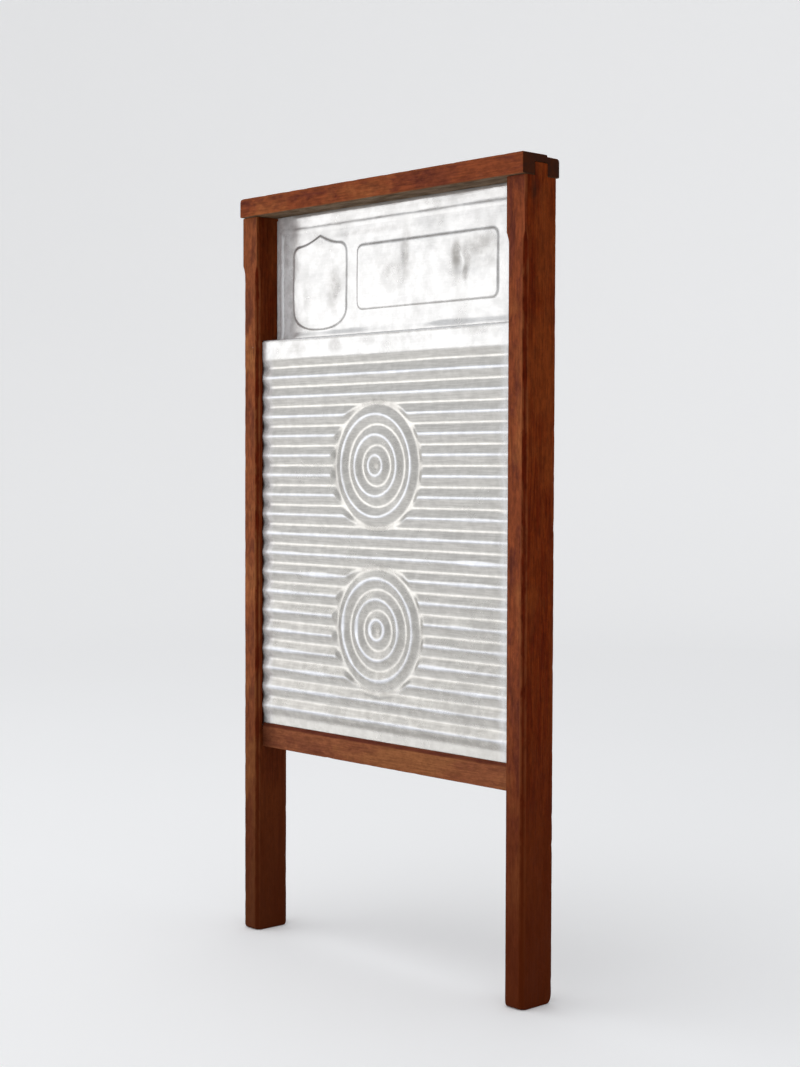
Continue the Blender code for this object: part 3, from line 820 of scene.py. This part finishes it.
# Dents: middle x and z, radius and depth
DENTS = (
    (-0.069, 0.486, 0.0045, 0.00025),
    (0.004, 0.489, 0.0030, 0.00020),
    (0.102, 0.484, 0.0015, 0.00020),
    (0.134, 0.354, 0.0022, 0.0012),
    (-0.100, 0.397, 0.010, 0.0008),
    (0.085, 0.262, 0.012, 0.0007),
)


def tarnish_and_shade(x, z, spots):
    """Strength of the grey blotches, partly tarnish and partly painted shade, at arrays of x and z, from
    0 to 1.
    """
    amount = np.zeros(x.shape)
    for middle_x, middle_z, half_x, half_z, strength in spots:
        away = ((x - middle_x) / half_x) ** 2 + ((z - middle_z) / half_z) ** 2
        amount = np.maximum(amount, strength * np.exp(-(away**1.5)))
    return amount


def grime_and_shade(x, z, height):
    """Strength of painted shade on sideways slopes, in the nooks by the stiles and round the medallions'
    rims, and low on the sheet on upward slopes and under the crests, with a faint darkening towards the
    bottom.
    """
    steep = math.tan(FLANK)
    across = np.abs(np.gradient(height, axis=1) / np.gradient(x, axis=1)) / steep
    across = np.clip(across, 0.0, 1.0)
    upward = -np.gradient(height, axis=0) / np.gradient(z, axis=0) / steep
    # Painted shade low on the sheet: upward slopes and the slopes just under the crests are darkened.
    under_crest = np.clip(-upward, 0.0, 1.0) * smoothstep(height / RELIEF * 1.4 - 0.4)
    low = smoothstep((0.40 - z) / 0.18)
    amount = 0.26 * across**2 + low * (0.05 + 0.22 * np.clip(upward, 0.0, 1.0) + 0.34 * under_crest)
    # Painted shade in the troughs where the sheet meets the stiles.
    nook = smoothstep((np.abs(x) - 0.1355) / 0.004) * (1.0 - height / RELIEF) * (z < BAND_BOTTOM_Z)
    amount = np.maximum(amount, 0.9 * nook)
    for middle_x, ridges_down in MEDALLIONS:
        beside = x - middle_x
        above = z - (TOP_CREST_Z - ridges_down * PITCH)
        radius = np.maximum(np.hypot(beside, above), 0.001)
        diagonal = (2.0 * beside * above / radius**2) ** 2
        # Painted shade in the rim round each medallion, weaker on its diagonals.
        rim = np.exp(-(((radius - MEDALLION_RADIUS - 0.0012) / 0.0024) ** 2))
        amount = np.maximum(amount, rim * (0.46 - 0.40 * diagonal))
    return amount


def rubbing_sheet(look):
    """Corrugated sheet with two ringed medallions; its top edge is bent back over the ledge."""
    half = SHEET_HIGH.x
    fine = np.arange(-0.060, 0.0601, 0.00125)
    coarse = np.linspace(-half, -0.062, 24)
    columns = np.concatenate([coarse, fine, -coarse[::-1]])
    band_low = 0.4785
    rows = np.concatenate([
        np.linspace(BAND_TOP_Z - 0.0016, band_low, 9, endpoint=False),
        np.linspace(band_low, SHEET_LOW.z, 318),
    ])
    x, z = np.meshgrid(columns, rows)
    points = np.stack([x, x * 0.0, z], axis=-1).reshape(-1, 3)
    sway = wander(points, (0.09, 1.0, 0.05), 11).reshape(x.shape)
    shiver = wander(points, (0.02, 1.0, 0.012), 13).reshape(x.shape)
    pressed = relief(x, z + 0.00035 * sway)
    rubbed = 0.00014 + 0.00030 * smoothstep((0.37 - z) / 0.06)
    rubbed = rubbed * np.clip(wander(points, (0.045, 1.0, PITCH), 23).reshape(x.shape) + 0.15, 0.0, 1.0)
    height = np.minimum(pressed, RELIEF - rubbed)
    flat = flatness(height, x, z)
    # Grey blotches together with painted shade in the nooks, rims and low slopes.
    stain_and_shade = np.maximum(tarnish_and_shade(x, z, SHEET_TARNISH_AND_SHADE), grime_and_shade(x, z, height))
    height = height - 0.00006 * (1 + shiver) - 0.00010 * (1 + sway)
    for dent_x, dent_z, radius, depth in DENTS:
        away = np.hypot(x - dent_x, z - dent_z) / radius
        height = height - depth * np.exp(-(away**2))
    y = FRONT_Y + CREST_DEPTH + RELIEF - height
    front = np.stack([x, y, z], axis=-1)
    lip_rows = []
    bend = 0.0015
    start_y = front[0, :, 1]
    narrow = np.clip(front[0, :, 0], -INNER_X + GAP, INNER_X - GAP)
    for angle in np.linspace(math.pi, math.pi / 2, 7)[1:]:
        lip_y = start_y + bend * (1 + math.cos(angle))
        lip_z = np.full_like(lip_y, BAND_TOP_Z - bend + bend * math.sin(angle))
        lip_rows.append(np.stack([narrow, lip_y, lip_z], axis=-1))
    bend_y = lip_rows[-1][:, 1]
    back_y = FRONT_Y + PANEL_FACE_DEPTH - EMBOSS - GAP
    for t in (0.12, 0.3, 0.5, 0.7, 0.88, 1.0):
        lip_y = bend_y * (1 - t) + back_y * t
        sag = 0.0003 * math.sin(math.pi * t)
        lip_rows.append(np.stack([narrow, lip_y, np.full_like(lip_y, BAND_TOP_Z - sag)], axis=-1))
    grid = np.concatenate([np.array(lip_rows)[::-1], front])
    lip = np.ones((len(lip_rows), len(columns)))
    fields = {
        "crest": np.concatenate([lip * 0.55, np.where(z > BAND_BOTTOM_Z, 0.55, pressed / RELIEF)]),
        "flat": np.concatenate([lip, flat]),
        "stain_and_shade": np.concatenate([lip * 0.0, stain_and_shade]),
        # Pale film by the stiles, partly painted light over their shade.
        "film_and_painted_light": np.concatenate([lip * 0.0, 0.6 * smoothstep((np.abs(x) - 0.128) / 0.006)]),
    }
    made = sheet("rubbing_sheet", grid, fields, look)
    claim(made, ["rubbing_sheet"])
    return made


# Soap panel


def ellipse_arc(centre, radii, start, end, steps):
    """Points along part of an ellipse, between two angles in degrees."""
    angles = np.radians(np.linspace(start, end, steps + 1))
    return [(centre[0] + radii[0] * math.cos(a), centre[1] + radii[1] * math.sin(a)) for a in angles]


def shield_outline():
    """Shield as (x, z): ogee top with a point, straight sides and a full round bottom."""
    reach = SHIELD_HALF - SHIELD_CORNER
    right = []
    for step in range(12):
        along = step / 12
        rise = SHIELD_TIP_RISE * (1.0 - along) ** SHIELD_TIP_POWER
        right.append((along * reach, SHIELD_SHOULDER_Z + rise))
    corner_at = (reach, SHIELD_SHOULDER_Z - SHIELD_CORNER)
    right += ellipse_arc(corner_at, (SHIELD_CORNER, SHIELD_CORNER), 90, 0, 8)
    for step in range(15):
        angle = math.radians(90 * step / 14)
        blunt = 2.0 / SHIELD_BELLY_POWER
        across = SHIELD_HALF * math.cos(angle) ** blunt
        right.append((across, SHIELD_SIDE_Z - SHIELD_BELLY * math.sin(angle) ** blunt))
    left = [(-x, z) for x, z in reversed(right[1:-1])]
    return [(SHIELD_X + x, z) for x, z in right + left]


def segment_distance(x, z, start, end):
    """Distance of each point from the straight stretch between two points."""
    run = np.array((end[0] - start[0], end[1] - start[1]))
    t = np.clip(((x - start[0]) * run[0] + (z - start[1]) * run[1]) / (run @ run), 0.0, 1.0)
    return np.hypot(x - start[0] - t * run[0], z - start[1] - t * run[1])


def inside_distance(x, z, outline):
    """Distance of each point from an outline, positive inside it."""
    path = np.array(outline)
    best = np.full(x.shape, 1.0)
    inside = np.zeros(x.shape, bool)
    for (x0, z0), (x1, z1) in zip(path, np.roll(path, -1, axis=0)):
        best = np.minimum(best, segment_distance(x, z, (x0, z0), (x1, z1)))
        crosses = (z0 > z) != (z1 > z)
        at = x0 + (z - z0) * (x1 - x0) / (z1 - z0 if z1 != z0 else 1.0)
        inside ^= crosses & (x < at)
    return np.where(inside, best, -best)


def box_distance(x, z, low, high, corner):
    """Distance inside a rectangle with round corners, positive inside it."""
    middle_x, middle_z = (low[0] + high[0]) / 2, (low[1] + high[1]) / 2
    out_x = np.abs(x - middle_x) - (high[0] - low[0]) / 2 + corner
    out_z = np.abs(z - middle_z) - (high[1] - low[1]) / 2 + corner
    outside = np.hypot(np.maximum(out_x, 0.0), np.maximum(out_z, 0.0))
    return corner - outside - np.minimum(np.maximum(out_x, out_z), 0.0)


def soap_panel(look):
    """Thin upper panel with a bead frame, a shield and a blank plate pressed forward, and old dents."""
    half = PANEL_HIGH.x
    columns = np.linspace(-half, half, 350)
    rows = np.concatenate([
        [PANEL_HIGH.z, FLANGE_TOP_Z + 0.0004],
        np.linspace(FLANGE_TOP_Z, PANEL_LOW.z, 132),
    ])
    x, z = np.meshgrid(columns, rows)
    points = np.stack([x, x * 0.0, z], axis=-1).reshape(-1, 3)
    buckle = wander(points, (0.05, 1.0, 0.03), 17).reshape(x.shape)
    ripple = wander(points, (0.013, 1.0, 0.009), 19).reshape(x.shape)
    line = LINE_WIDTH / 2
    shield = smoothstep((inside_distance(x, z, shield_outline()) + line) / (2 * line))
    plate = smoothstep((box_distance(x, z, PLATE_LOW, PLATE_HIGH, PLATE_CORNER) + line) / (2 * line))
    arch = box_distance(x, z, (-BEAD_X, BEAD_FOOT_Z), (BEAD_X, BEAD_Z), BEAD_CORNER)
    bead = np.clip(1.0 - (np.abs(arch) / (BEAD_WIDTH / 2)) ** 2, 0.0, 1.0) ** 0.8
    bead = bead * (1.0 - 0.72 * smoothstep((z - BEAD_Z + 0.004) / 0.003))
    height = EMBOSS * np.maximum(np.maximum(shield, plate), bead)
    outline = np.maximum(shield * (1.0 - shield), plate * (1.0 - plate)) * 4.0
    edge = smoothstep((half - np.abs(x)) / 0.012) * smoothstep((RAIL_Z - z) / 0.010)
    edge = edge * smoothstep((z - 0.494) / 0.006)
    height = height - edge * (0.0008 * (buckle + 0.6) + 0.00012 * (ripple + 1.0))
    height = height - edge * (0.0001 * crease(x, z) + knocks(x, z))
    y = FRONT_Y + PANEL_FACE_DEPTH - height
    under_rail = z > FLANGE_TOP_Z
    x = np.where(under_rail, np.clip(x, -INNER_X + 3 * GAP, INNER_X - 3 * GAP), x)
    grid = np.stack([x, y, z], axis=-1)
    # Painted shade along the pressed outlines of the shield and plate, with the grey blotches; the crease
    # is cleared of it, which paints a highlight along the crease.
    stain_and_shade = np.maximum(0.58 * outline**0.6, tarnish_and_shade(x, z, PANEL_TARNISH_AND_SHADE)) * (1.0 - crease(x, z))
    # Painted shade in thin lines along the bead near the stiles.
    beside_bead = np.exp(-(((np.abs(arch) - 0.0024) / 0.0008) ** 2))
    beside_bead = beside_bead * smoothstep((np.abs(x) - 0.125) / 0.004)
    stain_and_shade = np.maximum(stain_and_shade, 0.45 * beside_bead)
    fields = {
        "crest": np.full(x.shape, 0.55),
        "flat": np.ones(x.shape),
        "stain_and_shade": np.clip(stain_and_shade, 0.0, 1.0),
        # Pale film by the stiles, partly painted light over their shade, and a painted highlight on the
        # bead.
        "film_and_painted_light": smoothstep((np.abs(x) - 0.114) / 0.014) * (0.72 + 0.5 * bead),
    }
    made = sheet("soap_panel", grid, fields, look)
    claim(made, ["soap_panel"])
    return made


def crease(x, z):
    """Strength of the bent crease in the plate, from 0 to 1."""
    strength = np.zeros(x.shape)
    path = ((0.0735, 0.5505), (0.0773, 0.5419), (0.0747, 0.5300))
    taper = smoothstep((z - 0.528) / 0.008) * smoothstep((0.553 - z) / 0.008)
    for start, end in zip(path, path[1:]):
        away = segment_distance(x, z, start, end)
        strength = np.maximum(strength, taper * np.exp(-((away / 0.0013) ** 2)))
    return strength


def knocks(x, z):
    """Depth of the two soft knocks in the shield and the plate."""
    plate = 0.0006 * np.exp(-(((x - 0.014) / 0.004) ** 2) - (((z - 0.550) / 0.020) ** 2))
    shield = 0.0007 * np.exp(-(((x + 0.073) / 0.009) ** 2) - (((z - 0.527) / 0.011) ** 2))
    return plate + shield


# Nails


def nail(name, radius, thick, look):
    """Worn domed nail head with its shank, in the place of the CAD nail."""
    low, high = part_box(name)
    from_back = "brad_left" not in name
    head_y = high.y if from_back else low.y
    reach = high.y - low.y
    shank = radius * 0.48
    profile = [(0.0, 0.0), (0.35, 0.02), (0.65, 0.10), (0.88, 0.26), (1.0, 0.55), (1.0, 0.80), (0.9, 1.0)]
    outline = [(r * radius, depth * thick) for r, depth in profile]
    outline += [(shank, thick), (shank, reach - 3 * shank), (0.0002, reach)]
    steps = 28
    rings = []
    for r, depth in outline[1:]:
        angles = np.linspace(0.0, math.tau, steps, endpoint=False)
        uneven = 1.0 - 0.05 * np.sin(2 * angles + 1.0) * (r > shank) - 0.04 * (r > shank)
        away = head_y - depth if from_back else head_y + depth
        ring = np.stack([
            (low.x + high.x) / 2 + r * uneven * np.cos(angles),
            np.full(steps, away),
            (low.z + high.z) / 2 + r * uneven * np.sin(angles),
        ], axis=-1)
        rings.append(ring)
    made = loft(name, rings, {}, look)
    claim(made, [name])
    return made


# Stage, light and camera


def turned_surface(name, profile, look):
    """Round open surface about the Z axis from (radius, height) points."""
    steps = 128
    angles = np.linspace(0.0, math.tau, steps, endpoint=False)
    verts = [(r * math.cos(a), r * math.sin(a), z) for r, z in profile for a in angles]
    faces = []
    for ring in range(len(profile) - 1):
        for step in range(steps):
            low = ring * steps
            after = (step + 1) % steps
            faces.append([low + step, low + steps + step, low + steps + after, low + after])
    made = finish_mesh(name, verts, faces, {}, look, 180.0)
    return made


def paper(name):
    """Pale matt paper; its glow, stronger away from the board, stands for lamps on the floor and wall."""
    material = bpy.data.materials.new(name)
    nodes = Nodes(material)
    cloud = nodes.noise(nodes.place((1.0, 1.0, 1.0)), 1.3, 3.0)
    colour = nodes.mix(cloud, rgb(0.905, 0.90, 0.895), rgb(0.925, 0.92, 0.915))
    nodes.feed(nodes.shader.inputs["Base Color"], colour)
    nodes.shader.inputs["Roughness"].default_value = 0.9
    nodes.shader.inputs["Specular IOR Level"].default_value = 0.1
    nodes.shader.inputs["Emission Color"].default_value = rgb(1.0, 0.99, 0.98)
    level_place = nodes.place((1.0, 1.0, 0.0))
    radius = nodes.add("VectorMath", {"operation": "LENGTH"}, Vector=level_place).outputs["Value"]
    glow = nodes.ramp(radius, GLOW_START, GLOW_END, FLOOR_GLOW, WALL_GLOW)
    nodes.feed(nodes.shader.inputs["Emission Strength"], glow)
    return material


def studio():
    """Round pale floor that curves up into a wall; only the camera sees the wall."""
    look = paper("studio_paper")
    floor = [(radius, 0.0) for radius in (0.0, 0.5, 1.2, FLOOR_RADIUS)]
    turned_surface("studio_floor", floor, look)
    cove = [(FLOOR_RADIUS, 0.0)]
    for angle in np.radians(np.linspace(5, 90, 18)):
        rise = COVE_RADIUS * (1.0 - math.cos(angle))
        cove.append((FLOOR_RADIUS + COVE_RADIUS * math.sin(angle), rise))
    cove.append((FLOOR_RADIUS + COVE_RADIUS, WALL_TOP_Z))
    wall = turned_surface("studio_wall", cove, look)
    for ray in ("diffuse", "glossy", "transmission", "shadow"):
        setattr(wall, f"visible_{ray}", False)


def area_light(name, at, towards, size, power, colour):
    """Soft rectangular lamp that the camera doesn't see."""
    lamp = bpy.data.lights.new(name, "AREA")
    lamp.shape = "RECTANGLE"
    lamp.size, lamp.size_y = size
    lamp.energy = power
    lamp.color = colour
    made = bpy.data.objects.new(name, lamp)
    made.location = at
    made.rotation_euler = (Vector(towards) - Vector(at)).to_track_quat("-Z", "Y").to_euler()
    made.visible_camera = False
    bpy.context.scene.collection.objects.link(made)
    return made


def room(bright, dim):
    """World light that is bright on the window's side and dim on the other, and even overhead."""
    world = bpy.data.worlds.new("room")
    bpy.context.scene.world = world
    world.use_nodes = True
    tree = world.node_tree
    direction = tree.nodes.new("ShaderNodeTexCoord").outputs["Generated"]
    towards = tree.nodes.new("ShaderNodeVectorMath")
    towards.operation = "DOT_PRODUCT"
    towards.inputs[1].default_value = WINDOW_SIDE
    tree.links.new(direction, towards.inputs[0])
    level = tree.nodes.new("ShaderNodeMapRange")
    level.interpolation_type = "SMOOTHSTEP"
    for key, number in (("From Min", -0.8), ("From Max", 0.8), ("To Min", dim), ("To Max", bright)):
        level.inputs[key].default_value = number
    tree.links.new(towards.outputs["Value"], level.inputs["Value"])
    background = tree.nodes["Background"]
    background.inputs["Color"].default_value = rgb(0.95, 0.97, 1.0)
    tree.links.new(level.outputs[0], background.inputs["Strength"])


def light():
    """Soft window on the left front with a wider curtain behind it, and a soft lamp overhead.

    The overhead lamp is left out of reflections.
    """
    room(bright=0.72, dim=0.52)
    middle = (0.0, 0.0, 0.35)
    area_light("window", (-1.75, -1.55, 0.47), middle, (1.3, 1.05), 2.1, (1.0, 0.99, 0.97))
    area_light("curtain", (-1.95, -1.73, 0.50), middle, (2.4, 1.25), 4.0, (1.0, 0.99, 0.98))
    above, below = (-0.2, -0.4, 2.6), (0.0, 0.0, 0.3)
    overhead = area_light("overhead", above, below, (2.4, 2.4), 24.0, (0.97, 0.98, 1.0))
    overhead.visible_glossy = False


def camera():
    """Camera at the right front, looking at the board's face and the right stile's side."""
    lens = bpy.data.cameras.new("camera")
    lens.lens = CAMERA_LENS
    lens.sensor_width = 36.0
    lens.clip_start = 0.01
    made = bpy.data.objects.new("camera", lens)
    yaw, pitch, roll = (math.radians(angle) for angle in CAMERA_TURN)
    ahead = Vector((-math.sin(yaw) * math.cos(pitch), math.cos(yaw) * math.cos(pitch), math.sin(pitch)))
    right = Vector((math.cos(yaw), math.sin(yaw), 0.0))
    up = right.cross(ahead)
    tilted_right = right * math.cos(roll) + up * math.sin(roll)
    tilted_up = up * math.cos(roll) - right * math.sin(roll)
    turn = Matrix((tilted_right, tilted_up, -ahead)).transposed()
    made.matrix_world = Matrix.Translation(CAMERA_AT) @ turn.to_4x4()
    bpy.context.scene.collection.objects.link(made)
    bpy.context.scene.camera = made


# The washboard

stile("left_stile", -1, wood("left_stile_wood", ALONG_Z, 1.0, PALE))
stile("right_stile", 1, wood("right_stile_wood", ALONG_Z, 4.3, STAINED))
top_rail(wood("top_rail_wood", ALONG_X, 7.9, STAINED))
look = wood("bottom_rail_wood", ALONG_X, 11.2, BROWN)
bar("bottom_rail", LOWER_LOW, LOWER_HIGH, LOWER_BEVEL, LOWER_GROOVE, look, 23)
look = wood("ledge_rail_wood", ALONG_X, 13.7, RAW)
bar("ledge_rail", LEDGE_LOW, LEDGE_HIGH, LEDGE_BEVEL, LEDGE_GROOVE, look, 29)
rubbing_sheet(sheet_metal("rubbing_sheet_metal", 2.0))
soap_panel(sheet_metal("soap_panel_metal", 5.0))
for index, label in enumerate(("left", "right")):
    nail(f"top_nail_{label}", *WIRE_HEAD, nail_steel(f"top_nail_{label}_steel", 1.0 + index))
    nail(f"bottom_nail_{label}", *WIRE_HEAD, nail_steel(f"bottom_nail_{label}_steel", 3.0 + index))
    nail(f"ledge_brad_{label}", *BRAD_HEAD, nail_steel(f"ledge_brad_{label}_steel", 5.0 + index))
studio()
light()
camera()
bpy.context.scene.view_settings.view_transform = "Standard"
